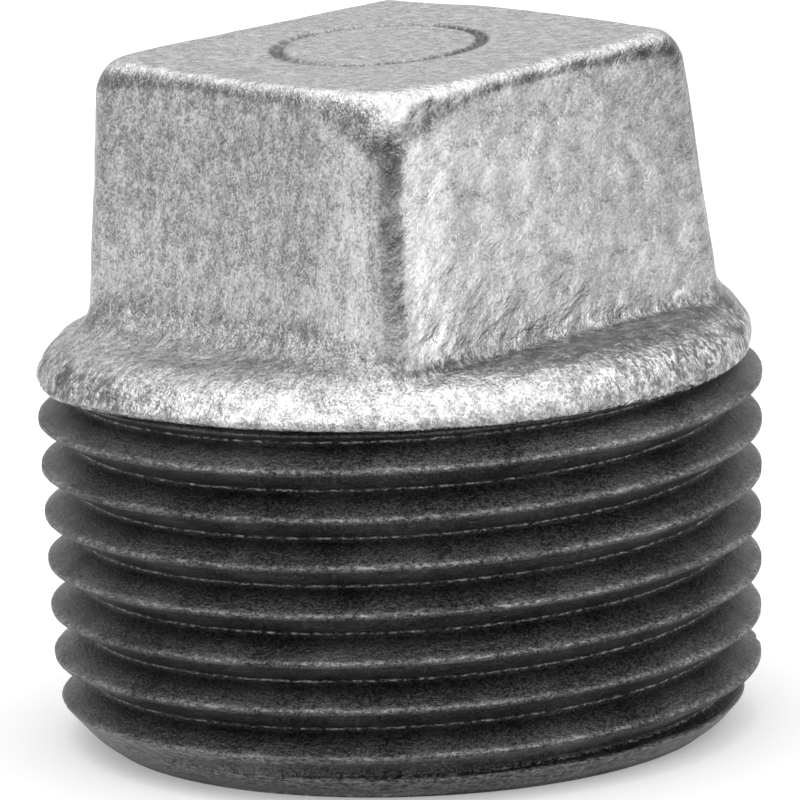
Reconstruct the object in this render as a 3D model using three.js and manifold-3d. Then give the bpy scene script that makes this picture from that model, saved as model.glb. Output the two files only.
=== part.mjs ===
// Pipe plug, nominal size 1 inch: a cored iron casting with a square wrench head, a round collar
// and a tapered outside pipe thread. The head and collar are zinc coated and the thread is bare iron,
// so the casting is split at the underside of the collar into one mesh for each finish.
//
// Millimetres, +Z up. The axis of the thread is Z and its open end stands on z = 0.
// The flats of the head face +X, -X, +Y and -Y.

import * as THREE from 'three';
import { LoftGeometry } from 'three/addons/geometries/LoftGeometry.js';
import { ParametricGeometry } from 'three/addons/geometries/ParametricGeometry.js';
import { mergeVertices } from 'three/addons/utils/BufferGeometryUtils.js';
import Module from 'manifold-3d';

const wasm = await Module();
wasm.setup();

// Whole part
const overallHeight = 32.0;
const roundSegments = 60; // facets round every turned surface

// Tapered pipe thread, 11.5 turns per inch, right-hand
const threadLength = 17.3;
const threadPitch = 25.4 / 11.5;
const threadTaper = 1 / 32; // growth of the radius for each millimetre of height
const crestRadius = 16.7; // at the collar, where the thread is largest
const crestFlat = 0.09 * threadPitch;
const rootFlat = 0.09 * threadPitch;
const flankAngle = THREE.MathUtils.degToRad(30); // each flank, from square to the axis
const lowestCrest = 0.37; // height of the first crest where it crosses the +X side
const endRadius = 14.3; // flat end of the thread
const endChamferSlope = 0.9; // growth of the radius for each millimetre of height

// Collar
const collarUndersideRadius = 15.9;
const collarRadius = 16.4;
const collarRimBottom = 17.75;
const collarRimTop = 17.95;
const collarBevelTopRadius = 15.3;
const collarBevelTopHeight = 19.05;
const ledgeRadius = 14.2;
const ledgeHeight = 19.5;
const ledgeCentreHeight = 19.65;

// Square head
const acrossFlats = 20.64; // at the middle of the head's height
const acrossFlatsHeight = 25.8;
const draft = 0.0651; // growth of the half width for each millimetre downwards
const cornerRadius = 1.8;
const topEdgeRadius = 1.1;
const topCornerShrink = 0.5; // loss of the corner radius for each millimetre that the top edge rounds in
const coveRadius = 1.4; // between the head and the ledge of the collar
const coveCornerGrowth = 2.2; // the cove is drawn in at the corners, so that it stays on the ledge
const cornerSteps = 6;
const topEdgeSteps = 4;
const coveSteps = 4;

// Ring cut in the top
const ringInnerRadius = 4.5;
const ringWidth = 0.4;
const ringDepth = 0.3;

// Core: the hollow inside the casting, open at the threaded end
const coreMouthRadius = 11.2;
const coreShoulderRadius = 10.2;
const coreShoulderHeight = 16.0;
const coreNeckRadius = 6.8;
const coreNeckHeight = 19.0;
const coreEndRadius = 6.3;
const coreEndHeight = 28.2;
const coreEndRounding = 1.8;
const coreEndSteps = 4;

// How far a cutting shape runs past the surface that it cuts
const overrun = 1.0;
const spareTurns = 4; // turns of thread that run past each end of the bar before it is trimmed

const zinc = new THREE.MeshStandardMaterial({ color: 0xb9bbbc, metalness: 0.85, roughness: 0.42 });
const bareIron = new THREE.MeshStandardMaterial({ color: 0x33322f, metalness: 0.6, roughness: 0.5 });

// Turns a closed geometry into a solid: shared vertices are merged, and triangles that have
// shrunk to a line or a point are dropped.
function toSolid(closedGeometry) {
  const bare = new THREE.BufferGeometry();
  bare.setAttribute('position', closedGeometry.getAttribute('position'));
  bare.setIndex(closedGeometry.getIndex());
  const merged = mergeVertices(bare);
  const corners = merged.getIndex().array;
  const triangles = [];
  for (let i = 0; i < corners.length; i += 3) {
    const [a, b, c] = corners.slice(i, i + 3);
    if (a !== b && b !== c && c !== a) {
      triangles.push(a, b, c);
    }
  }
  const mesh = new wasm.Mesh({
    numProp: 3,
    vertProperties: new Float32Array(merged.getAttribute('position').array),
    triVerts: new Uint32Array(triangles),
  });
  return new wasm.Manifold(mesh);
}

function toMesh(solid, name, material) {
  const { vertProperties, triVerts } = solid.getMesh();
  const geometry = new THREE.BufferGeometry();
  geometry.setAttribute('position', new THREE.BufferAttribute(vertProperties, 3));
  geometry.setIndex(new THREE.BufferAttribute(triVerts, 1));
  geometry.computeVertexNormals();
  const mesh = new THREE.Mesh(geometry, material);
  mesh.name = name;
  return mesh;
}

// A solid turned about Z from [radius, height] pairs that run upwards on the outside.
function turned(profile) {
  const points = profile.map(([radius, height]) => new THREE.Vector2(radius, height));
  const geometry = new THREE.LatheGeometry(points, roundSegments);
  geometry.rotateX(Math.PI / 2);
  return toSolid(geometry);
}

// A square ring of points with rounded corners, counter-clockwise seen from above.
function roundedSquare(halfWidth, radius, height) {
  const points = [];
  for (let corner = 0; corner < 4; corner += 1) {
    const middle = Math.PI / 4 + (corner * Math.PI) / 2;
    const centre = (halfWidth - radius) * Math.SQRT2;
    for (let step = 0; step <= cornerSteps; step += 1) {
      const angle = middle + (step / cornerSteps - 0.5) * (Math.PI / 2);
      const x = centre * Math.cos(middle) + radius * Math.cos(angle);
      const y = centre * Math.sin(middle) + radius * Math.sin(angle);
      points.push(new THREE.Vector3(x, y, height));
    }
  }
  return points;
}

function headHalfWidth(height) {
  return acrossFlats / 2 + (acrossFlatsHeight - height) * draft;
}

// The square head, from inside the collar to the top face.
function squareHead() {
  const sections = [];
  const footHalfWidth = headHalfWidth(ledgeHeight) + coveRadius;
  const footCorner = cornerRadius + coveRadius * coveCornerGrowth;
  sections.push(roundedSquare(footHalfWidth, footCorner, ledgeHeight - overrun));
  for (let step = 0; step <= coveSteps; step += 1) {
    const angle = (step / coveSteps) * (Math.PI / 2);
    const height = ledgeHeight + coveRadius * (1 - Math.cos(angle));
    const spread = coveRadius * (1 - Math.sin(angle));
    const corner = cornerRadius + spread * coveCornerGrowth;
    sections.push(roundedSquare(headHalfWidth(height) + spread, corner, height));
  }
  for (let step = 0; step <= topEdgeSteps; step += 1) {
    const angle = (step / topEdgeSteps) * (Math.PI / 2);
    const height = overallHeight - topEdgeRadius * (1 - Math.sin(angle));
    const inset = topEdgeRadius * (1 - Math.cos(angle));
    const corner = cornerRadius - inset * topCornerShrink;
    sections.push(roundedSquare(headHalfWidth(height) - inset, corner, height));
  }
  return toSolid(new LoftGeometry(sections, { capStart: true, capEnd: true }));
}

function collar() {
  return turned([
    [0, threadLength],
    [collarUndersideRadius, threadLength],
    [collarRadius, collarRimBottom],
    [collarRadius, collarRimTop],
    [collarBevelTopRadius, collarBevelTopHeight],
    [ledgeRadius, ledgeHeight],
    [0, ledgeCentreHeight],
  ]);
}

// The hollow, starting below the open end so that it cuts through it.
function core() {
  const taper = (coreMouthRadius - coreShoulderRadius) / coreShoulderHeight;
  const profile = [
    [0, -overrun],
    [coreMouthRadius + taper * overrun, -overrun],
    [coreShoulderRadius, coreShoulderHeight],
    [coreNeckRadius, coreNeckHeight],
  ];
  for (let step = 0; step <= coreEndSteps; step += 1) {
    const angle = (step / coreEndSteps) * (Math.PI / 2);
    profile.push([
      coreEndRadius - coreEndRounding * (1 - Math.cos(angle)),
      coreEndHeight - coreEndRounding * (1 - Math.sin(angle)),
    ]);
  }
  profile.push([0, coreEndHeight]);
  return turned(profile);
}

function ringCut() {
  const outerRadius = ringInnerRadius + ringWidth;
  const floor = overallHeight - ringDepth;
  const top = overallHeight + overrun;
  return turned([
    [ringInnerRadius, floor],
    [outerRadius, floor],
    [outerRadius, top],
    [ringInnerRadius, top],
    [ringInnerRadius, floor],
  ]);
}

// The threaded bar before its end is chamfered. Its surface is a sheet of rows that each follow the
// helix once round, so that every row meets the row one pitch above it where the turn closes.
// Rows below and above the bar shrink to a point on the axis.
function threadedBar() {
  const toothDepth = (threadPitch - crestFlat - rootFlat) / 2 / Math.tan(flankAngle);
  const tooth = [
    { height: -crestFlat / 2, depth: 0 },
    { height: crestFlat / 2, depth: 0 },
    { height: (threadPitch - rootFlat) / 2, depth: toothDepth },
    { height: (threadPitch + rootFlat) / 2, depth: toothDepth },
  ];
  const lowEnd = (-spareTurns * threadPitch) / 2;
  const highEnd = threadLength - lowEnd;
  const turns = Math.ceil(threadLength / threadPitch) + 2 * spareTurns;
  const rows = turns * tooth.length;

  function surface(around, upward, target) {
    const row = Math.round(upward * rows);
    const turn = Math.floor(row / tooth.length) - spareTurns;
    const { height: rise, depth } = tooth[row % tooth.length];
    const height = lowestCrest + (turn + around) * threadPitch + rise;
    if (height < lowEnd) {
      target.set(0, 0, lowEnd);
    } else if (height > highEnd) {
      target.set(0, 0, highEnd);
    } else {
      const radius = crestRadius - (threadLength - height) * threadTaper - depth;
      const angle = (around % 1) * 2 * Math.PI;
      target.set(radius * Math.cos(angle), radius * Math.sin(angle), height);
    }
  }
  return toSolid(new ParametricGeometry(surface, roundSegments, rows));
}

function threadedShank() {
  const outside = crestRadius + overrun;
  const blank = turned([
    [0, 0],
    [endRadius, 0],
    [outside, (outside - endRadius) / endChamferSlope],
    [outside, threadLength],
    [0, threadLength],
  ]);
  return threadedBar().intersect(blank).subtract(core());
}

function galvanisedHead() {
  return squareHead().add(collar()).subtract(core()).subtract(ringCut());
}

const pipePlug = new THREE.Group();
pipePlug.add(
  toMesh(galvanisedHead(), 'galvanised_head', zinc),
  toMesh(threadedShank(), 'threaded_shank', bareIron),
);

export default pipePlug;
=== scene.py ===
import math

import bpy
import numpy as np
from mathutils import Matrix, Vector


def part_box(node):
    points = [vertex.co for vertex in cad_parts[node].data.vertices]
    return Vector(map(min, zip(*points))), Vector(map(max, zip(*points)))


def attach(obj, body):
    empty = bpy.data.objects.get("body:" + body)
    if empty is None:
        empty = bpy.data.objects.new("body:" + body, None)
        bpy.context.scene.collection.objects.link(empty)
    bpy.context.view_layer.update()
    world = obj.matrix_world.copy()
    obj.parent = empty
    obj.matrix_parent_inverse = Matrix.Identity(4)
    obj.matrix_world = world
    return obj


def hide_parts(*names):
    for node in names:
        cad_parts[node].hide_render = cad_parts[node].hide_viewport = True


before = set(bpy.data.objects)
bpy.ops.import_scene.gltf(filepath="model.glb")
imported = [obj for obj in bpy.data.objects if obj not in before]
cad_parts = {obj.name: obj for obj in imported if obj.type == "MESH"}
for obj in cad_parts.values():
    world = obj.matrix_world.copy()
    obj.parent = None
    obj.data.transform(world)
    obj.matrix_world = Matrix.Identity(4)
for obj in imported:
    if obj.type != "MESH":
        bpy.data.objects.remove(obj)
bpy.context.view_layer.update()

# Pipe plug, nominal size 1 inch: a galvanised casting with a square head and a collar above a bare,
# tapered outside thread. The two CAD nodes are each replaced by a finer mesh of the same shape, with
# the unevenness of a real casting, of its zinc coat and of its cut thread.
#
# The mesh code works in millimetres; Blender's objects are in metres.

MM = 0.001

# ---------------------------------------------------------------------------------------------------
# Driving dimensions, in millimetres
# ---------------------------------------------------------------------------------------------------

_, shank_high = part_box("threaded_shank")
_, head_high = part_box("galvanised_head")

THREAD_TOP = shank_high[2] / MM
TOP = head_high[2] / MM
COLLAR_RADIUS = head_high[0] / MM

PITCH = 25.4 / 11.5
TAPER = 1 / 32
CREST_RADIUS = 16.7
CREST_FLAT = 0.09 * PITCH
ROOT_FLAT = 0.09 * PITCH
FLANK_ANGLE = math.radians(30)  # each flank, from square to the axis
TOOTH_DEPTH = (PITCH - CREST_FLAT - ROOT_FLAT) / 2 / math.tan(FLANK_ANGLE)
FLANK_BULGE = 0.02  # share of the depth of the tooth by which its flanks are curved
LOWEST_CREST = 0.37
END_FADE = (0.1, 1.9)  # heights between which the grooves grow to their full depth
END_RADIUS = 14.3
END_CHAMFER_SLOPE = 0.9
END_WEAR = (0.25, 0.35)  # how far the edge of the open end is worn in, and how far up
CHAMFER_BLEND = 0.12
RUN_OUT_HEIGHT = 16.3  # where the last turn of the thread begins to run out under the collar
RUN_OUT_SLOPE = math.sqrt(3)  # loss of the radius for each millimetre upwards from there

ACROSS_FLATS = 20.64
ACROSS_FLATS_HEIGHT = 25.8
DRAFT_X = 0.046  # growth of the half width along X for each millimetre downwards
DRAFT_Y = 0.084
CORNER_RADIUS = 1.8
TOP_EDGE_RADIUS = 0.8
TOP_CORNER_EXTRA = 1.0  # extra rounding of the top edge at the four corners
TOP_FRONT_SHARE = 2.4  # more of the same at the corner between +X and -Y
TOP_BACK_EXTRA = 1.0  # and along the half of the -X side that is nearer +Y
COVE_BLEND = (0.5, 3.2)  # along the X sides of the square, and along the Y sides
COLLAR_BEVEL_SUM = 34.42  # radius plus height, all over the 45 degree bevel
COLLAR_UNDERSIDE_SUM = 1.1  # height minus radius, all over the bevel below the rim
COLLAR_TOP_ROUNDING = 0.8  # between the ledge and the bevel
COLLAR_RIM_ROUNDING = 0.45
COLLAR_UNDERSIDE_ROUNDING = 0.35
LEDGE_HEIGHT = 19.65
LEDGE_FALL = 0.011  # fall of the ledge for each millimetre outwards
LEDGE_DROP = 0.2  # how much lower the ledge is along the X sides of the square

# The bevel of the collar is worn down in three places: angle, spread and depth of each.
WORN_AND_HIGHLIT = (math.radians(-50), 0.8, 0.5)  # worn, and carrying a painted highlight, under the corner between +X and -Y
WORN_DULL = (math.radians(222), 0.55, 0.2)  # duller than the rest
WORN_PLACES = (WORN_AND_HIGHLIT, WORN_DULL, (math.radians(45), 0.5, 0.25))

# The zinc runs down over the end of the thread on one side of the collar.
RUN_ANGLE = math.radians(222)
RUN_SPREAD = math.radians(34)
RUN_DROP = 0.85

CORE_MOUTH_RADIUS = 11.2
CORE_SHOULDER = (10.2, 16.0)  # radius, height
CORE_NECK = (6.8, 19.0)
CORE_END = (6.3, 26.4)
CORE_ROUNDING = 1.8
CORE_POLE = 0.02  # radius of the last ring of the core, round the axis
CORE_ROUGHNESS = 0.12

RING_RADIUS = 4.7
RING_HALF_WIDTH = 0.24
RING_DEPTH = 0.2
RING_SHADE_SPREAD = 1.5  # the painted shade of the ring reaches this much further than its groove

# The casting isn't quite true to its thread. It leans a little about the line that points at the
# corner between +X and -Y. Its square is off the axis towards the corner between +X and +Y, and its
# collar is off the axis the other way.
LEAN = 1.6  # degrees
SQUARE_SHIFT = 0.27  # along X and along Y
COLLAR_SHIFT = -0.10
TOP_DROP = 0.2

# The zinc that ran down the X sides left ripples that slant.
SLANT = 33  # degrees


# ---------------------------------------------------------------------------------------------------
# Random relief
# ---------------------------------------------------------------------------------------------------

# Large whole numbers that scramble a place in the lattice of the noise into a random number
PLACE_KEYS = (73856093, 19349663, 83492791)
SEED_KEY = 2654435761
MIXING_KEYS = (2246822519, 3266489917)


def noise(points, size, seed):
    """Smooth random values from -1 to 1, one for each point, that change over about size mm. They
    are blended from random numbers at the corners of the cell of the lattice that the point is in."""
    cell = points / size + seed * 13.7
    low = np.floor(cell).astype(np.int64)
    part = cell - low
    part = part * part * (3 - 2 * part)
    total = np.zeros(points.shape[:-1])
    for corner in np.ndindex(2, 2, 2):
        key = (low + corner) * PLACE_KEYS
        key = key[..., 0] ^ key[..., 1] ^ key[..., 2] ^ (seed * SEED_KEY)
        key = (key ^ (key >> 15)) * MIXING_KEYS[0] & 0xFFFFFFFF
        key = (key ^ (key >> 13)) * MIXING_KEYS[1] & 0xFFFFFFFF
        key = key ^ (key >> 16)
        weight = np.prod(np.where(corner, part, 1 - part), axis=-1)
        total += weight * (key / 0x7FFFFFFF - 1)
    return total


def layered_noise(points, size, seed, layers=3):
    """Noise with finer and fainter layers added, each half the size of the one before."""
    total = np.zeros(points.shape[:-1])
    for layer in range(layers):
        total += noise(points, size / 2**layer, seed + layer) / 2**layer
    return total


# ---------------------------------------------------------------------------------------------------
# Shares: how much of something there is at each point, from 0 to 1
# ---------------------------------------------------------------------------------------------------

def smooth_step(low, high, value):
    """0 up to low, 1 from high on, and smooth between them."""
    part = np.clip((value - low) / (high - low), 0, 1)
    return part * part * (3 - 2 * part)


def peak(value, middle, spread, power=2):
    """1 at the middle, and fading on both sides of it over about the spread."""
    return np.exp(-(((value - middle) / spread) ** power))


def turn_between(angle, other):
    """How far apart two angles are, the short way round."""
    return np.abs((angle - other + math.pi) % (2 * math.pi) - math.pi)


# ---------------------------------------------------------------------------------------------------
# Meshes made of rings
# ---------------------------------------------------------------------------------------------------

def ring_mesh(name, points, ids, attributes):
    """A mesh from a grid of vertex numbers whose last column closes the ring. Squares that have
    shrunk to a triangle lose the doubled corner, and those that have shrunk further are left out."""
    a, b = ids[:-1, :-1].ravel(), ids[:-1, 1:].ravel()
    c, d = ids[1:, 1:].ravel(), ids[1:, :-1].ravel()
    corners = np.stack([a, b, c, d], axis=1)
    keep = np.ones_like(corners, dtype=bool)
    for k in range(4):
        keep[:, k] = corners[:, k] != corners[:, k - 1]
    count = keep.sum(axis=1)
    corners, keep, count = corners[count > 2], keep[count > 2], count[count > 2]
    loops = corners[keep]
    starts = np.concatenate([[0], np.cumsum(count)[:-1]])
    used, loops = np.unique(loops, return_inverse=True)

    mesh = bpy.data.meshes.new(name)
    mesh.vertices.add(len(used))
    mesh.vertices.foreach_set("co", (points[used] * MM).ravel())
    mesh.loops.add(len(loops))
    mesh.loops.foreach_set("vertex_index", loops.ravel())
    mesh.polygons.add(len(count))
    mesh.polygons.foreach_set("loop_start", starts)
    mesh.polygons.foreach_set("use_smooth", np.ones(len(count), dtype=bool))
    for attribute, values in attributes.items():
        layer = mesh.attributes.new(attribute, "FLOAT", "POINT")
        layer.data.foreach_set("value", values[used].astype(np.float32))
    mesh.update(calc_edges=True)
    mesh.validate()
    piece = bpy.data.objects.new(name, mesh)
    bpy.context.scene.collection.objects.link(piece)
    return piece


def grid_normals(grid):
    """Unit normals of a grid of points that closes round its columns, facing out where the rows run
    upwards and the columns counter-clockwise."""
    across = np.roll(grid, -1, axis=1) - np.roll(grid, 1, axis=1)
    along = np.gradient(grid, axis=0)
    normal = np.cross(across, along)
    length = np.linalg.norm(normal, axis=-1, keepdims=True)
    return normal / np.maximum(length, 1e-9)


def closed_ids(rows, columns):
    """Vertex numbers of a plain grid, with the first column repeated at the end."""
    ids = np.arange(rows * columns).reshape(rows, columns)
    return np.hstack([ids, ids[:, :1]])


# ---------------------------------------------------------------------------------------------------
# The core: the hollow inside the casting
# ---------------------------------------------------------------------------------------------------

CORE_ROUNDING_POINTS = 8
CORE_FINE_STEPS = 200


def core_profile(low, high, steps):
    """Radius and height up the wall of the core between two heights."""
    end_radius, end_height = CORE_END
    turn = np.radians(np.linspace(0, 90, CORE_ROUNDING_POINTS))
    radius = [CORE_MOUTH_RADIUS, CORE_SHOULDER[0], CORE_NECK[0]]
    radius += list(end_radius - CORE_ROUNDING * (1 - np.cos(turn))) + [CORE_POLE]
    height = [0, CORE_SHOULDER[1], CORE_NECK[1]]
    height += list(end_height + CORE_ROUNDING * np.sin(turn)) + [end_height + CORE_ROUNDING]
    length = np.concatenate([[0], np.cumsum(np.hypot(np.diff(radius), np.diff(height)))])
    fine = np.unique(np.concatenate([length, np.linspace(0, length[-1], CORE_FINE_STEPS)]))
    fine_radius = np.interp(fine, length, radius)
    fine_height = np.interp(fine, length, height)
    start = np.interp(low, fine_height, fine) if low > 0 else 0
    stop = np.interp(high, fine_height, fine) if high < fine_height[-1] else fine[-1]
    at = np.linspace(start, stop, steps)
    return np.interp(at, fine, fine_radius), np.interp(at, fine, fine_height)


def core_rows(low, high, steps, angles):
    """Rows of points up the wall of the core, rough as a sand core leaves it."""
    radius, height = core_profile(low, high, steps)
    rows = np.stack(
        [
            radius[:, None] * np.cos(angles),
            radius[:, None] * np.sin(angles),
            np.repeat(height[:, None], len(angles), axis=1),
        ],
        axis=-1,
    )
    bump = CORE_ROUGHNESS * layered_noise(rows, 2.4, 71)
    fade = smooth_step(0, 2.0, radius)[:, None]
    outward = rows * (1, 1, 0) / np.maximum(radius, 0.5)[:, None, None]
    return rows + outward * (bump * fade)[..., None]


# ---------------------------------------------------------------------------------------------------
# The shape of the head and collar
# ---------------------------------------------------------------------------------------------------

HEAD_AROUND = 380
HEAD_OUTER_ROWS = 216
HEAD_CORE_ROWS = 26
HEAD_RAYS = 450  # in each half of the outline
RAY_START = 18.2  # height on the axis from which every point of the outside can be seen
RAY_LOWEST_REACH = 13.0  # radius where the lowest ray meets the underside of the collar
RAY_BEND = math.radians(14)  # the rays are closer together below this elevation than above it
OUTLINE_SHARE = 0.9995  # the last row of the outline stops just short of the axis
SQUARE_STEPS = 7200  # steps round the square that its evenly spaced angles are found from


def rounded_box_2d(x, y, half_x, half_y, radius):
    """Distance from a rectangle with rounded corners, less than 0 inside it."""
    inner_x = np.abs(x) - (half_x - radius)
    inner_y = np.abs(y) - (half_y - radius)
    outside = np.hypot(np.maximum(inner_x, 0), np.maximum(inner_y, 0))
    return outside + np.minimum(np.maximum(inner_x, inner_y), 0) - radius


def rounded_meeting(first, second, radius):
    """Distance to where two surfaces meet in an edge of that radius."""
    first, second = first + radius, second + radius
    outside = np.hypot(np.maximum(first, 0), np.maximum(second, 0))
    return outside + np.minimum(np.maximum(first, second), 0) - radius


def blend_join(first, second, width):
    """The nearer of two distances, with a cove of about that width between them."""
    part = np.clip(0.5 + 0.5 * (second - first) / width, 0, 1)
    return second * (1 - part) + first * part - width * part * (1 - part)


def zinc_run(angle):
    """How far the underside of the collar hangs down at each angle."""
    return RUN_DROP * peak(turn_between(angle, RUN_ANGLE), 0, RUN_SPREAD)


def worn_share(angle, place):
    """How much of the wear of one place there is at each angle."""
    middle, spread, _ = place
    return peak(turn_between(angle, middle), 0, spread, power=4)


def square_distance(x, y, z):
    """Distance from the outside of the square, where x and y are from its own axis."""
    half_x = ACROSS_FLATS / 2 + (ACROSS_FLATS_HEIGHT - z) * DRAFT_X
    half_y = ACROSS_FLATS / 2 + (ACROSS_FLATS_HEIGHT - z) * DRAFT_Y
    sides = rounded_box_2d(x, y, half_x, half_y, CORNER_RADIUS)
    corner = np.clip(np.abs(x * y) / (half_x * half_y), 0, 1) ** 3
    corner *= 1 + TOP_FRONT_SHARE * smooth_step(8, 19, x - y)
    back = smooth_step(-8, 4, y) * smooth_step(0, 8, -x)
    edge = TOP_EDGE_RADIUS + TOP_CORNER_EXTRA * corner + TOP_BACK_EXTRA * back
    return rounded_meeting(sides, z - (TOP - TOP_DROP), edge)


def head_distance(x, y, z):
    """Distance from the outside of the casting, less than 0 inside it."""
    square = square_distance(x - SQUARE_SHIFT, y - SQUARE_SHIFT, z)

    r = np.hypot(x - COLLAR_SHIFT, y - COLLAR_SHIFT)
    angle = np.arctan2(y, x)
    run = zinc_run(angle)
    y_share = smooth_step(0.42, 0.62, np.abs(y) / np.maximum(np.abs(x) + np.abs(y), 1e-6))
    worn = sum(place[2] * worn_share(angle, place) for place in WORN_PLACES)
    bevel = (r + z - COLLAR_BEVEL_SUM + worn) / math.sqrt(2)
    ledge = z - (LEDGE_HEIGHT - LEDGE_DROP * (1 - y_share) - LEDGE_FALL * r)
    underside_bevel = (r - z + COLLAR_UNDERSIDE_SUM - run) / math.sqrt(2)
    collar_top = rounded_meeting(bevel, ledge, COLLAR_TOP_ROUNDING)
    collar_rim = rounded_meeting(collar_top, r - COLLAR_RADIUS, COLLAR_RIM_ROUNDING)
    collar = rounded_meeting(collar_rim, underside_bevel, COLLAR_UNDERSIDE_ROUNDING)
    cove = COVE_BLEND[0] + (COVE_BLEND[1] - COVE_BLEND[0]) * y_share
    return np.maximum(blend_join(square, collar, cove), THREAD_TOP - run - z)


def farthest_inside(is_inside, shape, limit, halvings):
    """How far along each ray the inside reaches, between 0 and the limit."""
    low, high = np.zeros(shape), np.full(shape, limit)
    for _ in range(halvings):
        middle = (low + high) / 2
        inside = is_inside(middle)
        low, high = np.where(inside, middle, low), np.where(inside, high, middle)
    return low


def head_angles():
    """Angles round the axis that are evenly spaced round the outline of the square."""
    fine = np.linspace(0, 2 * math.pi, SQUARE_STEPS + 1)
    half = ACROSS_FLATS / 2

    def is_inside(reach):
        x, y = reach * np.cos(fine), reach * np.sin(fine)
        return rounded_box_2d(x, y, half, half, CORNER_RADIUS) < 0

    reach = farthest_inside(is_inside, fine.shape, limit=20.0, halvings=30)
    step = np.hypot(np.diff(reach), reach[1:] * np.diff(fine))
    length = np.concatenate([[0], np.cumsum(step)])
    return np.interp(np.linspace(0, length[-1], HEAD_AROUND + 1)[:-1], length, fine)


def head_rays(angles):
    """Elevations of the rays for each angle, from the underside of the collar to the axis."""
    lowest = -np.arctan((RAY_START - THREAD_TOP + zinc_run(angles)) / RAY_LOWEST_REACH)
    share = np.linspace(0, 1, HEAD_RAYS)[:, None]
    below_bend = lowest + (RAY_BEND - lowest) * share
    above_bend = RAY_BEND + (math.pi / 2 - RAY_BEND) * share[1:]
    return np.concatenate([below_bend, np.repeat(above_bend, len(angles), axis=1)])


def head_outline(angles):
    """Rows of points from the underside of the collar, over its rim and up the head to the middle of
    its top, found along rays from the axis and then spaced evenly by their distance along the way.
    The rows are closer together at the ring in the top, and further apart on the rest of the top."""
    rays = head_rays(angles)
    out, up = np.cos(rays), np.sin(rays)

    def is_inside(reach):
        r = reach * out
        return head_distance(r * np.cos(angles), r * np.sin(angles), RAY_START + reach * up) < 0

    reach = farthest_inside(is_inside, rays.shape, limit=25.0, halvings=28)
    radius, height = reach * out, RAY_START + reach * up

    rows = np.empty((HEAD_OUTER_ROWS, len(angles), 3))
    for column, angle in enumerate(angles):
        r, z = radius[:, column], height[:, column]
        on_top = smooth_step(TOP - 0.6, TOP - 0.1, z[:-1])
        density = 1 - 0.35 * on_top + 1.6 * on_top * peak(r[:-1], RING_RADIUS, 0.5)
        length = np.concatenate([[0], np.cumsum(np.hypot(np.diff(r), np.diff(z)) * density)])
        at = np.linspace(0, length[-1] * OUTLINE_SHARE, HEAD_OUTER_ROWS)
        r, z = np.interp(at, length, r), np.interp(at, length, z)
        rows[:, column] = np.stack([r * math.cos(angle), r * math.sin(angle), z], axis=1)
    return rows


# ---------------------------------------------------------------------------------------------------
# The relief and the zinc of the head
# ---------------------------------------------------------------------------------------------------

# Heights of the relief, in millimetres
CASTING_UNEVENNESS = 0.05
RIPPLE_HEIGHT = 0.10
STREAK_HEIGHT = 0.030
COLLAR_LUMPS = 0.055
BEVEL_LUMPS = 0.035
BEAD_HEIGHT = 0.07
RIM_LUMPS = 0.10
TOP_UNEVENNESS = 0.012

# How much longer than wide the ripples and the streaks are
RIPPLE_STRETCH = 1.9
STREAK_STRETCH = 2.4

# How much painted shade each place has, or how much duller its zinc is, from 0 to 1
PAINTED_SHADE_CORNER = 0.43
PAINTED_SHADE_BELOW_EDGE = 0.32
PAINTED_SHADE_BELOW_X_EDGE = 0.2  # more of the same along the X sides
PAINTED_SHADE_BELOW_FRONT = 0.28  # and beside the corner between +X and -Y
PAINTED_SHADE_FOOT = 0.9
LEDGE_DARKENING = 0.12
PAINTED_SHADE_Y_COVE = 0.38
DULL_BLOTCH = 0.68
PAINTED_SHADE_X_SIDE_BACK = 0.12
PAINTED_SHADE_X_SIDE_BACK_HIGH = 0.20
PAINTED_SHADE_X_SIDE_TOP = 0.07
Y_SIDE_HIGH_DARKENING = 0.17
DULL_WORN_PLACE = 0.12

# How much painted light or painted highlight each place has, or how much brighter its zinc is, from 0
# to 1
PAINTED_FRONT_SIDE_LIGHT = 0.15
PAINTED_EDGE_HIGHLIGHT = 0.38
PAINTED_WORN_PLACE_HIGHLIGHT = 0.3
PAINTED_BEAD_HIGHLIGHTS = 0.9
PAINTED_REFLECTION_BESIDE_CORNER = 0.6
BRIGHT_Y_FOOT = 0.25
BRIGHT_GLINTS = 0.4

# How even the brightness of the zinc is, from 0 to 1
EVEN_X_SIDE = 0.35
EVEN_TOP = 0.4

# How crackled the zinc of the ledge is, where the bevel of the collar counts as 1
LEDGE_CRACKLE = 0.45
CALM_Y_LEDGE = 0.35  # less of it where the ledge rises to the Y sides
CALM_WORN_PLACE = 0.75  # share of the crackle and of the blotches that the bright worn place lacks


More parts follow.
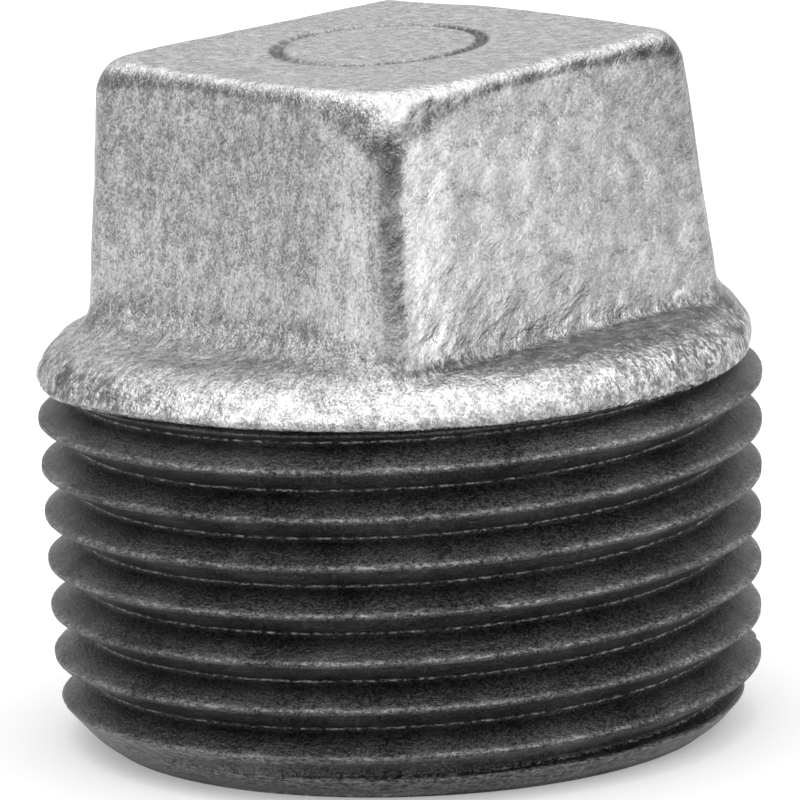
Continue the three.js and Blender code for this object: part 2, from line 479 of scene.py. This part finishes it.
def head_zones(rows, normal):
    """How much each point belongs to each part of the head."""
    x_reach, y_reach, z = np.abs(rows[..., 0]), np.abs(rows[..., 1]), rows[..., 2]
    r = np.hypot(x_reach, y_reach)
    up = normal[..., 2]
    top = smooth_step(0.6, 0.9, up) * smooth_step(TOP - 1.5, TOP - 0.4, z)
    collar = 1 - smooth_step(LEDGE_HEIGHT - 0.3, LEDGE_HEIGHT + 1.0, z)
    side = (1 - top) * (1 - collar)

    # The corners of the square, of which the front one is between +X and -Y. "facing" is 1 where the
    # surface faces a corner and 0 where it faces a flat, and "to_corner" says the same by place.
    across = np.hypot(normal[..., 0], normal[..., 1])
    facing = 2 * np.abs(normal[..., 0] * normal[..., 1]) / np.maximum(across, 1e-6) ** 2
    ragged = 0.07 * layered_noise(rows, 0.7, 59, 2)
    corner = smooth_step(0.76, 0.88, facing + ragged) * (1 - smooth_step(0.36, 0.5, up))
    to_corner = np.minimum(x_reach, y_reach) / np.maximum(np.maximum(x_reach, y_reach), 1e-6)
    front = smooth_step(0, 20, -rows[..., 0] * rows[..., 1])
    front_corner = smooth_step(0.6, 0.95, to_corner) * front
    beside_corner = front * smooth_step(0.50, 0.85, to_corner) * (1 - smooth_step(0.1, 0.5, facing))

    # The top edge, which reaches lower at the front corner, and the foot and the ledge, which differ
    # along the X sides and the Y sides.
    edge_height = z + 0.7 * front_corner
    top_edge = smooth_step(TOP - 2.5, TOP - 1.5, edge_height) * smooth_step(0.12, 0.3, up)
    x_edge = smooth_step(0, 2, x_reach - y_reach)
    y_share = smooth_step(0.0, 3.0, y_reach - x_reach)
    y_slope = smooth_step(0.25, 0.5, up) * (1 - smooth_step(LEDGE_HEIGHT + 2.5, LEDGE_HEIGHT + 3.5, z))
    filled = 0.7 + 0.3 * smooth_step(-0.5, 0.1, noise(rows, 2.5, 37))
    return {
        "top": top,
        "collar": collar,
        "bevel": collar * (1 - smooth_step(LEDGE_HEIGHT - 1.1, LEDGE_HEIGHT - 0.5, z)),
        "rim": collar * smooth_step(15.6, 16.3, r),
        "x_side": side * smooth_step(0.35, 0.8, np.abs(normal[..., 0])),
        "y_side": side * smooth_step(0.35, 0.8, np.abs(normal[..., 1])),
        "facing": facing,
        "corner": side * corner,
        "front_corner": front_corner,
        "beside_corner": side * beside_corner,
        "top_edge": top_edge,
        "x_edge": x_edge,
        "foot_beads": x_edge * peak(z, LEDGE_HEIGHT + 0.25, 0.35),
        "y_ledge": y_share * y_slope,
        "ring": top * filled * peak(r, RING_RADIUS, RING_HALF_WIDTH, power=4),
        "ring_shade": top * filled * peak(r, RING_RADIUS, RING_HALF_WIDTH * RING_SHADE_SPREAD, power=4),
    }


def head_relief(rows, zones):
    """Height of the relief above the true shape of the casting, in mm."""
    x, y, z = rows[..., 0], rows[..., 1], rows[..., 2]

    # The whole casting is slightly uneven.
    relief = CASTING_UNEVENNESS * layered_noise(rows, 7.0, 3)

    # Zinc ran down the X sides in slanting ripples, which fade towards +Y and towards the corners,
    # and the Y sides in fine upright streaks.
    tilt = math.radians(SLANT)
    along = y * math.cos(tilt) + z * math.sin(tilt)
    across = z * math.cos(tilt) - y * math.sin(tilt)
    slant = np.stack([x, along / RIPPLE_STRETCH, across], axis=-1)
    calm = 1 - 0.65 * smooth_step(2, 9, y)
    calm *= 1 - 0.7 * zones["facing"]
    relief += RIPPLE_HEIGHT * zones["x_side"] * calm * layered_noise(slant, 0.9, 11, 2)
    upright = np.stack([x, y, z / STREAK_STRETCH], axis=-1)
    relief += STREAK_HEIGHT * zones["y_side"] * layered_noise(upright, 0.8, 17, 2)

    # The collar is lumpy and its rim is ragged, and beads of zinc lie along the foot of the X sides.
    relief += COLLAR_LUMPS * zones["collar"] * layered_noise(rows, 1.1, 23)
    relief += BEVEL_LUMPS * zones["bevel"] * layered_noise(rows, 0.7, 101, 2)
    relief += BEAD_HEIGHT * zones["foot_beads"] * layered_noise(rows, 0.7, 97, 2)
    relief += RIM_LUMPS * zones["rim"] * layered_noise(rows, 1.4, 29, 2)

    # The top is flat, with a shallow ring that the zinc has partly filled.
    relief += TOP_UNEVENNESS * zones["top"] * layered_noise(rows, 1.1, 31, 2)
    return relief - RING_DEPTH * zones["ring"]


def head_shade_and_dullness(rows, normal, zones):
    """Where the zinc has painted shade or is duller, from 0 to 1."""
    x, y, z = rows[..., 0], rows[..., 1], rows[..., 2]

    # Painted shade down the corners of the square, and just below the edge of its top.
    limit = 0.57 - 0.27 * zones["front_corner"] * smooth_step(0.3, 0.7, zones["facing"])
    below_edge = zones["top_edge"] * (1 - smooth_step(limit, limit + 0.18, normal[..., 2]))
    below_edge *= (
        PAINTED_SHADE_BELOW_EDGE
        + PAINTED_SHADE_BELOW_X_EDGE * zones["x_edge"]
        + PAINTED_SHADE_BELOW_FRONT * zones["front_corner"]
    )
    shade_and_dull = np.maximum(PAINTED_SHADE_CORNER * zones["corner"], below_edge)

    # Painted shade along the foot of the X sides and in the coves of the Y sides, a darker ledge, and
    # duller blotches on the bevel of the collar, fewer in the bright worn place.
    foot = peak(z, LEDGE_HEIGHT - LEDGE_DROP + 0.05, 0.2)
    foot *= smooth_step(-0.1, 0.15, (np.abs(x) - np.abs(y)) / 15)
    foot *= np.clip(1 + 0.7 * noise(rows, 0.45, 73), 0, 1)
    ledge = smooth_step(LEDGE_HEIGHT - 0.9, LEDGE_HEIGHT - 0.5, z) * zones["collar"]
    y_cove = zones["y_ledge"] * smooth_step(LEDGE_HEIGHT - 0.6, LEDGE_HEIGHT, z)
    blotches = zones["bevel"] * smooth_step(0.05, 0.45, layered_noise(rows, 1.0, 67, 2))
    blotches *= 1 - CALM_WORN_PLACE * worn_share(np.arctan2(y, x), WORN_AND_HIGHLIT)
    shade_and_dull += PAINTED_SHADE_FOOT * foot + LEDGE_DARKENING * ledge + PAINTED_SHADE_Y_COVE * y_cove + DULL_BLOTCH * blotches
    shade_and_dull += DULL_WORN_PLACE * zones["bevel"] * worn_share(np.arctan2(y, x), WORN_DULL)

    # Painted shade towards +Y on the X sides, more so higher up, and close to their top; darker high on
    # the Y sides.
    high_x_side = zones["x_side"] * smooth_step(LEDGE_HEIGHT + 3, LEDGE_HEIGHT + 10, z)
    shade_and_dull += PAINTED_SHADE_X_SIDE_BACK * zones["x_side"] * smooth_step(1, 9, y)
    shade_and_dull += PAINTED_SHADE_X_SIDE_BACK_HIGH * high_x_side * smooth_step(0, 8, y)
    ragged_height = z + 0.6 * layered_noise(rows, 2.2, 103, 2)
    shade_and_dull += PAINTED_SHADE_X_SIDE_TOP * zones["x_side"] * smooth_step(TOP - 2.6, TOP - 1.7, ragged_height)
    shade_and_dull += Y_SIDE_HIGH_DARKENING * zones["y_side"] * smooth_step(LEDGE_HEIGHT + 3, LEDGE_HEIGHT + 9, z)

    uneven = 1 + 0.35 * layered_noise(rows, 0.9, 53, 2)
    # Painted shade in and round the ring in the top.
    return np.clip(shade_and_dull * uneven + zones["ring_shade"], 0, 1)


def head_highlight_and_polish(rows, normal, zones):
    """Where the zinc has painted light, painted highlights and painted reflections, or is brighter,
    from 0 to 1.
    """
    x, y, z = rows[..., 0], rows[..., 1], rows[..., 2]
    up = normal[..., 2]

    # Painted highlight along the edge of the top, but less so at the corner between +X and +Y.
    start = 0.79 - 0.38 * zones["facing"] + 0.12 * layered_noise(rows, 0.6, 83, 2)
    edge = zones["top_edge"] * smooth_step(start, start + 0.1, up)
    edge *= 1 - smooth_step(0.93, 0.98, up)
    edge *= 1 - 0.8 * smooth_step(6, 9.5, y) * smooth_step(6, 9, x)

    # Painted light on the X sides towards -Y, brighter at the foot of the Y sides, painted highlights
    # on the beads along the X sides, and a painted reflection on the flats beside the front corner,
    # which need no more than their zone.
    front_side = zones["x_side"] * (1 - smooth_step(-8, 3, y))
    front_side *= 1 - smooth_step(TOP - 2.4, TOP - 1.6, z)
    y_foot = zones["y_side"] * (1 - smooth_step(LEDGE_HEIGHT + 1.5, LEDGE_HEIGHT + 4.5, z))
    beads = zones["foot_beads"] * smooth_step(0.1, 0.5, layered_noise(rows, 0.5, 89, 2))

    # A painted highlight in one worn place of the bevel of the collar, and glints all round it.
    worn_place = zones["bevel"] * smooth_step(0.15, 0.4, up)
    worn_place *= worn_share(np.arctan2(y, x), WORN_AND_HIGHLIT)
    glints = zones["bevel"] * smooth_step(0.05, 0.5, layered_noise(rows, 0.9, 79, 2))

    shine = PAINTED_EDGE_HIGHLIGHT * edge + PAINTED_FRONT_SIDE_LIGHT * front_side + BRIGHT_Y_FOOT * y_foot
    shine += PAINTED_BEAD_HIGHLIGHTS * beads + PAINTED_REFLECTION_BESIDE_CORNER * zones["beside_corner"]
    shine += PAINTED_WORN_PLACE_HIGHLIGHT * worn_place + BRIGHT_GLINTS * glints
    uneven = 0.8 + 0.3 * layered_noise(rows, 0.8, 61, 2)
    return np.clip(shine * uneven, 0, 1)


def head_crackle(rows, zones):
    """Where the zinc is pitted and lumpy, from 0 to 1."""
    worn_place = worn_share(np.arctan2(rows[..., 1], rows[..., 0]), WORN_AND_HIGHLIT)
    ledge = zones["collar"] - zones["bevel"]
    bevel_crackle = zones["bevel"] * (1 - CALM_WORN_PLACE * worn_place)
    return bevel_crackle + ledge * (LEDGE_CRACKLE - CALM_Y_LEDGE * zones["y_ledge"])


def make_head():
    """The square head and the collar, with the closed end of the core."""
    angles = head_angles()
    outline = head_outline(angles)
    normal = grid_normals(outline)
    zones = head_zones(outline, normal)
    lowest = THREAD_TOP - zinc_run(angles)
    covered = smooth_step(lowest + 0.02, lowest + 0.3, outline[..., 2])
    pole = smooth_step(0.2, 1.0, np.hypot(outline[..., 0], outline[..., 1]))
    outline = outline + normal * (head_relief(outline, zones) * covered * pole)[..., None]

    # The casting leans about a point in the plane of its underside, but the underside stays level.
    turn = np.array(Matrix.Rotation(math.radians(LEAN), 3, Vector((1, -1, 0)).normalized()))
    pivot = np.array([0, 0, THREAD_TOP])
    leaning = (outline - pivot) @ turn.T + pivot
    share = smooth_step(lowest, lowest + 0.9, outline[..., 2])[..., None]
    outline = outline * (1 - share) + leaning * share

    inside = core_rows(THREAD_TOP, TOP, HEAD_CORE_ROWS, angles)[::-1]
    grid = np.concatenate([inside, outline])
    plain = np.zeros(inside.shape[:2])
    attributes = {
        "slanting": zones["x_side"],
        "even": EVEN_X_SIDE * zones["x_side"] + EVEN_TOP * zones["top"],
        "crackled": head_crackle(outline, zones),
        "shade_and_dull": head_shade_and_dullness(outline, normal, zones),
        "highlight_and_polish": head_highlight_and_polish(outline, normal, zones),
    }
    attributes = {key: np.concatenate([plain, value]).ravel() for key, value in attributes.items()}

    ids = closed_ids(*grid.shape[:2])
    ids[0] = ids[0, 0]
    ids[-1] = ids[-1, 0]
    return ring_mesh("head_casting", grid.reshape(-1, 3), ids, attributes)


# ---------------------------------------------------------------------------------------------------
# The threaded shank
# ---------------------------------------------------------------------------------------------------

THREAD_AROUND = 380
ROWS_PER_TURN = 24
SPARE_TURNS = 2  # turns of the grid that start below the open end
THREAD_CORE_ROWS = 20
THREAD_END_ROWS = 6

# Heights of the relief, in millimetres
THREAD_ROUGHNESS = 0.012
THREAD_WAVINESS = 0.02
NICK_DEPTH = 0.35
NICK_START = 0.75  # noise above this makes a nick


def tooth_profile(phase):
    """Depth below the crest at each phase, which is 0 at one crest and 1 at the next."""
    away = np.abs(phase - np.round(phase)) * PITCH
    flank = (away - CREST_FLAT / 2) / (PITCH / 2 - CREST_FLAT / 2 - ROOT_FLAT / 2)
    flank = np.clip(flank, 0, 1)
    return TOOTH_DEPTH * (flank + FLANK_BULGE * np.sin(2 * math.pi * flank))


def thread_grid(share):
    """Phase, height and vertex numbers of rows that follow the helix, where share is how far round
    each column is. The last column is the first one, a turn further up."""
    turns_up = math.ceil(THREAD_TOP / PITCH) + 1
    rows = np.arange(-SPARE_TURNS * ROWS_PER_TURN, turns_up * ROWS_PER_TURN + 1) / ROWS_PER_TURN
    height = LOWEST_CREST + (rows[:, None] + share) * PITCH
    phase = np.repeat(rows[:, None], len(share), axis=1)
    ids = np.arange(height.size).reshape(height.shape)

    # Rows past an end of the shank stop at that end, and all of them in a column share one vertex.
    below, above = height < 0, height > THREAD_TOP
    phase = np.where(below, (0 - LOWEST_CREST) / PITCH - share, phase)
    phase = np.where(above, (THREAD_TOP - LOWEST_CREST) / PITCH - share, phase)
    height = np.clip(height, 0, THREAD_TOP)
    column = np.arange(len(share))
    first_row = np.argmin(below, axis=0)
    last_row = len(rows) - 1 - np.argmin(above[::-1], axis=0)
    ids = np.where(below, ids[first_row - 1, column], ids)
    ids = np.where(above, ids[np.minimum(last_row + 1, len(rows) - 1), column], ids)

    first = ids[:, 0]
    ids[:, -1] = np.concatenate([first[ROWS_PER_TURN:], np.repeat(first[-1], ROWS_PER_TURN)])
    return phase, height, ids


def thread_radius(phase, height):
    """Radius of the thread at each point, and how much of it is the chamfer of the open end."""
    depth = tooth_profile(phase) * smooth_step(*END_FADE, height)
    radius = CREST_RADIUS - (THREAD_TOP - height) * TAPER - depth
    radius = np.minimum(radius, CREST_RADIUS - (height - RUN_OUT_HEIGHT) * RUN_OUT_SLOPE)
    chamfer = END_RADIUS + END_CHAMFER_SLOPE * height
    wear, wear_height = END_WEAR
    radius = blend_join(radius, chamfer - wear * peak(height, 0, wear_height), CHAMFER_BLEND)
    chamfered = smooth_step(-0.1, 0.25, radius - chamfer + 0.15)
    return radius, chamfered * (0.6 + 0.4 * smooth_step(0.2, 1.3, height))


def make_shank():
    """The threaded shank, with the open end of the core."""
    share = np.arange(THREAD_AROUND + 1) / THREAD_AROUND
    angles = share * 2 * math.pi
    phase, height, ids = thread_grid(share)
    radius, chamfered = thread_radius(phase, height)
    outside = np.stack([radius * np.cos(angles), radius * np.sin(angles), height], axis=-1)

    from_crest = np.abs(phase - np.round(phase)) * 2
    above_crest = np.sin(2 * math.pi * phase)
    nicks = np.maximum(layered_noise(outside, 1.6, 41, 2) - NICK_START, 0)
    nicks *= 1 - smooth_step(0.0, 0.45, from_crest)
    relief = THREAD_ROUGHNESS * layered_noise(outside, 0.8, 43, 2) - NICK_DEPTH * nicks
    relief += THREAD_WAVINESS * noise(outside, 3.0, 47)
    outward = np.stack([np.cos(angles), np.sin(angles), 0 * share], axis=-1)
    outside = outside + outward * (relief * (height < THREAD_TOP))[..., None]
    outside = outside.reshape(-1, 3)

    # Down the core from the top, out across the end face to the bottom edge of the thread, up the
    # thread, and in at the top to where the core began.
    core = core_rows(0, THREAD_TOP, THREAD_CORE_ROWS, angles[:-1])
    edge = outside[ids[0, :-1]]
    part = np.linspace(1, 0, THREAD_END_ROWS + 2)[1:-1, None, None]
    end_face = core[0] * part + edge * (1 - part)
    end_face[..., 2] = 0
    inner = np.concatenate([core[::-1], end_face])
    inner_ids = closed_ids(*inner.shape[:2]) + len(outside)
    ids = np.concatenate([inner_ids, ids, inner_ids[:1]])

    inner = inner.reshape(-1, 3)
    plain = np.zeros(len(inner))
    attributes = {
        "from_crest": np.concatenate([from_crest.ravel(), plain + 0.5]),
        "above_crest": np.concatenate([above_crest.ravel(), plain]),
        "chamfer": np.concatenate([chamfered.ravel(), plain]),
    }
    return ring_mesh("thread_casting", np.concatenate([outside, inner]), ids, attributes)


# ---------------------------------------------------------------------------------------------------
# Materials
# ---------------------------------------------------------------------------------------------------

# Brightness of the zinc
ZINC_EVEN = 0.44
ZINC_HIGHLIGHT_AND_POLISH = 0.85
ZINC_SHADE_AND_DULL = 0.10
ZINC_PIT = 0.14

# Brightness of the iron
IRON_CREST_WEAR_AND_HIGHLIGHT = 0.34
IRON_ROOT_HIGHLIGHT = 0.35


class Nodes:
    """A short way to add and join the nodes of one material. What is fed to a socket is either a
    number or the output of another node."""

    def __init__(self, name):
        self.material = bpy.data.materials.new(name)
        self.material.use_nodes = True
        self.tree = self.material.node_tree
        self.shader = self.tree.nodes["Principled BSDF"]
        self.place = self.add("ShaderNodeTexCoord").outputs["Object"]

    def add(self, kind, **settings):
        node = self.tree.nodes.new(kind)
        for key, value in settings.items():
            setattr(node, key, value)
        return node

    def link(self, source, target):
        self.tree.links.new(source, target)

    def feed(self, value, target):
        if isinstance(value, (int, float)):
            target.default_value = value
        else:
            self.link(value, target)

    def noise(self, size_mm, detail=2.0, roughness=0.5, stretch=(1, 1, 1), turn=(0, 0, 0)):
        """A noise whose features are about size_mm, stretched along its axes after a turn."""
        mapping = self.add("ShaderNodeMapping", vector_type="TEXTURE")
        mapping.inputs["Rotation"].default_value = [math.radians(angle) for angle in turn]
        mapping.inputs["Scale"].default_value = [size_mm * MM * share for share in stretch]
        texture = self.add("ShaderNodeTexNoise")
        texture.inputs["Scale"].default_value = 1.0
        texture.inputs["Detail"].default_value = detail
        texture.inputs["Roughness"].default_value = roughness
        self.link(self.place, mapping.inputs["Vector"])
        self.link(mapping.outputs["Vector"], texture.inputs["Vector"])
        return texture.outputs["Fac"]

    def attribute(self, name):
        return self.add("ShaderNodeAttribute", attribute_name=name).outputs["Fac"]

    def range(self, value, low, high, to_low, to_high):
        """The range from low to high, mapped to another and clamped to it."""
        node = self.add("ShaderNodeMapRange")
        limits = {"From Min": low, "From Max": high, "To Min": to_low, "To Max": to_high}
        for socket, number in limits.items():
            node.inputs[socket].default_value = number
        self.link(value, node.inputs["Value"])
        return node.outputs["Result"]

    def math(self, operation, first, second):
        node = self.add("ShaderNodeMath", operation=operation)
        self.feed(first, node.inputs[0])
        self.feed(second, node.inputs[1])
        return node.outputs["Value"]

    def product(self, first, *others):
        for other in others:
            first = self.math("MULTIPLY", first, other)
        return first

    def mix(self, factor, first, second):
        """The first value where the factor is 0, and the second where it is 1."""
        node = self.add("ShaderNodeMix", data_type="FLOAT")
        factor_socket, _, first_socket, second_socket = node.inputs[:4]
        self.feed(factor, factor_socket)
        self.feed(first, first_socket)
        self.feed(second, second_socket)
        return node.outputs["Result"]

    def colours(self, value, dark, light):
        """The dark colour where the value is 0, and the light one where it is 1."""
        ramp = self.add("ShaderNodeValToRGB")
        for element, colour in zip(ramp.color_ramp.elements, (dark, light)):
            element.color = (*colour, 1)
        self.link(value, ramp.inputs["Fac"])
        return ramp.outputs["Color"]

    def bump(self, height, depth_mm, normal=None):
        """Relief of that depth, on top of the relief that another bump's normal already has."""
        node = self.add("ShaderNodeBump")
        if isinstance(depth_mm, (int, float)):
            node.inputs["Distance"].default_value = depth_mm * MM
        else:
            self.link(self.product(depth_mm, MM), node.inputs["Distance"])
        self.link(height, node.inputs["Height"])
        if normal is not None:
            self.link(normal, node.inputs["Normal"])
        return node.outputs["Normal"]

    def set(self, **values):
        for key, value in values.items():
            self.feed(value, self.shader.inputs[key.replace("_", " ")])


def zinc_material():
    """Hot-dip zinc: bright metal with a fine grain and broader runs. The attributes of the mesh say
    where it slants, where it is even or crackled, where it has painted shade or is duller, and where it
    has painted light and highlights or is brighter."""
    m = Nodes("galvanised_zinc")
    slanting = m.attribute("slanting")
    crackled = m.attribute("crackled")
    aslant = (SLANT - 90, 0, 0)
    upright_grain = m.noise(0.12, 2, 0.7, stretch=(1, 1, 1.2))
    slanting_grain = m.noise(0.12, 2, 0.7, stretch=(1, 1, 1.4), turn=aslant)
    grain = m.mix(slanting, upright_grain, slanting_grain)
    upright_runs = m.noise(0.42, 3, 0.6, stretch=(1, 1, 1.4))
    slanting_runs = m.noise(0.60, 3, 0.55, stretch=(1, 1, 1.9), turn=aslant)
    runs = m.mix(slanting, upright_runs, slanting_runs)
    lumps = m.noise(0.36, 2, 0.55)
    patches = m.noise(1.0, 3, 0.6, stretch=(1, 1, 1.6))
    mottle = m.mix(m.mix(slanting, 0.2, 0.3), m.mix(0.38, grain, runs), patches)

    bright = m.math("POWER", m.range(mottle, 0.41, 0.59, 0.50, 0.82), 2.2)
    # Painted light, highlights and reflections, and brighter zinc, lighten the colour here.
    highlit_and_polished = m.product(m.attribute("highlight_and_polish"), m.range(mottle, 0.42, 0.58, 0.5, 1.5))
    # Painted shade, and duller zinc, darken the colour here.
    shaded_and_dulled = m.product(m.attribute("shade_and_dull"), m.range(mottle, 0.42, 0.58, 1.3, 0.7))
    glints = m.product(m.range(lumps, 0.56, 0.64, 0.0, 0.5), crackled)
    pits = m.product(m.range(lumps, 0.42, 0.50, 0.78, 0.0), crackled)
    bright = m.mix(m.attribute("even"), bright, ZINC_EVEN)
    bright = m.mix(highlit_and_polished, bright, ZINC_HIGHLIGHT_AND_POLISH)
    bright = m.mix(shaded_and_dulled, bright, ZINC_SHADE_AND_DULL)
    bright = m.mix(glints, bright, ZINC_HIGHLIGHT_AND_POLISH)
    bright = m.mix(pits, bright, ZINC_PIT)
    colour = m.colours(bright, (0, 0, 0), (0.99, 0.995, 1.0))

    roughness = m.range(runs, 0.35, 0.65, 0.22, 0.38)
    normal = m.bump(grain, m.mix(slanting, 0.07, 0.028))
    normal = m.bump(runs, m.mix(slanting, 0.12, 0.17), normal=normal)
    normal = m.bump(lumps, m.mix(crackled, 0.0, 0.22), normal=normal)
    m.set(Base_Color=colour, Metallic=1.0, Roughness=roughness, Normal=normal)
    return m.material


def iron_material():
    """The cut thread: dark, lightly oiled iron, with painted light on the lower flanks and just above
    each crest, painted shade deep in the grooves, a brighter chamfer, broken bright lines along the
    crests that are partly wear and partly painted highlight, and broken painted highlights at the
    bottom of the grooves."""
    m = Nodes("bare_thread")
    from_crest = m.attribute("from_crest")
    above_crest = m.attribute("above_crest")
    grain = m.noise(0.09, 2, 0.65)
    scratches = m.noise(0.07, 3, 0.7, stretch=(9, 9, 1))
    coarse = m.noise(0.22, 3, 0.7)
    patches = m.noise(3.0, 3, 0.6)
    dashes = m.range(m.noise(0.15, 3, 0.75, stretch=(2.2, 2.2, 1)), 0.46, 0.66, 0, 1)

    mottle = m.mix(0.25, m.mix(0.4, grain, coarse), patches)
    # Painted light on the lower flank, painted shade deep in the groove, and painted light just above
    # the crest.
    lower_flank = m.range(above_crest, -0.6, 0.0, 1.5, 1.0)
    groove = m.range(from_crest, 0.86, 0.94, 1.0, 0.35)
    near_crest = m.product(m.range(from_crest, 0.1, 0.6, 1, 0), m.range(above_crest, 0.0, 0.3, 0, 1))
    lit_near_crest = m.range(near_crest, 0, 1, 1.0, 1.6)
    level = m.product(m.range(mottle, 0.43, 0.60, 0.010, 0.11), lower_flank, groove, lit_near_crest)

    # Broken bright lines along the crests, partly wear and partly painted highlight, and a painted
    # highlight at the bottom of the grooves.
    crest = m.product(m.range(from_crest, 0.07, 0.26, 1, 0), m.range(above_crest, -0.15, 0.15, 0, 1))
    crest_wear_and_highlight = m.product(crest, m.product(dashes, m.range(patches, 0.4, 0.6, 0.6, 1.2)))
    root_highlight = m.product(m.range(from_crest, 0.93, 0.985, 0, 1), dashes)
    turned = m.range(m.mix(0.5, scratches, coarse), 0.42, 0.62, 0.02, 0.34)
    level = m.mix(crest_wear_and_highlight, level, IRON_CREST_WEAR_AND_HIGHLIGHT)
    level = m.mix(root_highlight, level, IRON_ROOT_HIGHLIGHT)
    level = m.mix(m.attribute("chamfer"), level, turned)
    colour = m.colours(level, (0, 0, 0), (1.0, 0.99, 0.97))

    roughness = m.range(coarse, 0.35, 0.65, 0.30, 0.56)
    normal = m.bump(grain, 0.03)
    normal = m.bump(coarse, 0.09, normal=normal)
    normal = m.bump(scratches, 0.02, normal=normal)
    m.set(Base_Color=colour, Metallic=0.75, Roughness=roughness, Normal=normal)
    return m.material


# ---------------------------------------------------------------------------------------------------
# Setting: floor, light and camera
# ---------------------------------------------------------------------------------------------------

# The camera's distance is in metres, its angles are in degrees and its lens is in millimetres.
CAMERA_DISTANCE = 0.5
CAMERA_AZIMUTH = 46.1
CAMERA_ELEVATION = 12.48
CAMERA_ROLL = 1.93
CAMERA_LENS = 490.2
CAMERA_TARGET = Vector((0, 0, 15.17 * MM))
CAMERA_CLIP = (0.01, 50)

FLOOR_HALF_WIDTH = 3.0
FLOOR_GREY = 0.55
FLOOR_ROUGHNESS = 0.9
FLOOR_GLOW = 0.3

WALL_LIGHT = 0.5


def direction(azimuth, elevation):
    """Unit vector towards a place seen from the part; azimuth 0 is -Y and 90 is +X."""
    a, e = math.radians(azimuth), math.radians(elevation)
    return Vector((math.sin(a) * math.cos(e), -math.cos(a) * math.cos(e), math.sin(e)))


# Lights and darker places on the wall round the studio: where each is, how far from there it starts
# and is at its full level, in degrees, and how much it adds.
STUDIO = (
    (direction(0, 90), 56, 46, 1.9),  # soft box overhead
    (direction(CAMERA_AZIMUTH + 180, 12), 62, 34, 0.13),  # lit backdrop
    (direction(CAMERA_AZIMUTH - 60, 6), 30, 14, 0.6),  # soft box on the left
    (direction(CAMERA_AZIMUTH + 54, 6), 30, 14, 1.8),  # soft box on the right
    (direction(CAMERA_AZIMUTH, -6), 32, 20, -0.8 * WALL_LIGHT),  # where the photographer stands
)


def make_camera():
    data = bpy.data.cameras.new("camera")
    data.lens = CAMERA_LENS
    data.clip_start, data.clip_end = CAMERA_CLIP
    camera = bpy.data.objects.new("camera", data)
    bpy.context.scene.collection.objects.link(camera)
    back = direction(CAMERA_AZIMUTH, CAMERA_ELEVATION)
    camera.location = CAMERA_TARGET + back * CAMERA_DISTANCE
    look = (-back).to_track_quat("-Z", "Y").to_matrix()
    camera.rotation_euler = (look @ Matrix.Rotation(math.radians(-CAMERA_ROLL), 3, "Z")).to_euler()
    bpy.context.scene.camera = camera


def make_floor():
    half = FLOOR_HALF_WIDTH
    mesh = bpy.data.meshes.new("floor")
    corners = [(-half, -half, 0), (half, -half, 0), (half, half, 0), (-half, half, 0)]
    mesh.from_pydata(corners, [], [(0, 1, 2, 3)])
    floor = bpy.data.objects.new("floor", mesh)
    bpy.context.scene.collection.objects.link(floor)
    material = bpy.data.materials.new("floor")
    material.use_nodes = True
    shader = material.node_tree.nodes["Principled BSDF"]
    shader.inputs["Base Color"].default_value = (FLOOR_GREY, FLOOR_GREY, FLOOR_GREY, 1)
    shader.inputs["Roughness"].default_value = FLOOR_ROUGHNESS
    shader.inputs["Emission Color"].default_value = (1, 1, 1, 1)
    shader.inputs["Emission Strength"].default_value = FLOOR_GLOW
    mesh.materials.append(material)


def make_light():
    """A white studio: a plain wall all round, plus the soft boxes and darker places of STUDIO."""
    world = bpy.data.worlds.new("studio")
    world.use_nodes = True
    tree = world.node_tree
    place = tree.nodes.new("ShaderNodeTexCoord").outputs["Generated"]
    total = None
    for axis, edge, middle, level in STUDIO:
        dot = tree.nodes.new("ShaderNodeVectorMath")
        dot.operation = "DOT_PRODUCT"
        dot.inputs[1].default_value = axis
        tree.links.new(place, dot.inputs[0])
        fade = tree.nodes.new("ShaderNodeMapRange")
        fade.interpolation_type = "SMOOTHSTEP"
        fade.inputs["From Min"].default_value = math.cos(math.radians(edge))
        fade.inputs["From Max"].default_value = math.cos(math.radians(middle))
        fade.inputs["To Max"].default_value = level
        tree.links.new(dot.outputs["Value"], fade.inputs["Value"])
        add = tree.nodes.new("ShaderNodeMath")
        tree.links.new(fade.outputs["Result"], add.inputs[0])
        if total is None:
            add.inputs[1].default_value = WALL_LIGHT
        else:
            tree.links.new(total, add.inputs[1])
        total = add.outputs["Value"]
    background = tree.nodes["Background"]
    background.inputs["Color"].default_value = (1, 1, 1, 1)
    tree.links.new(total, background.inputs["Strength"])
    bpy.context.scene.world = world


# ---------------------------------------------------------------------------------------------------
# Putting it together
# ---------------------------------------------------------------------------------------------------

def finish_piece(piece, node, material):
    """Gives a piece its material, and puts it in the place of one CAD node."""
    piece.data.materials.append(material)
    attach(piece, "root")
    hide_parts(node)


finish_piece(make_head(), "galvanised_head", zinc_material())
finish_piece(make_shank(), "threaded_shank", iron_material())
make_floor()
make_light()
make_camera()
bpy.context.scene.view_settings.view_transform = "Standard"
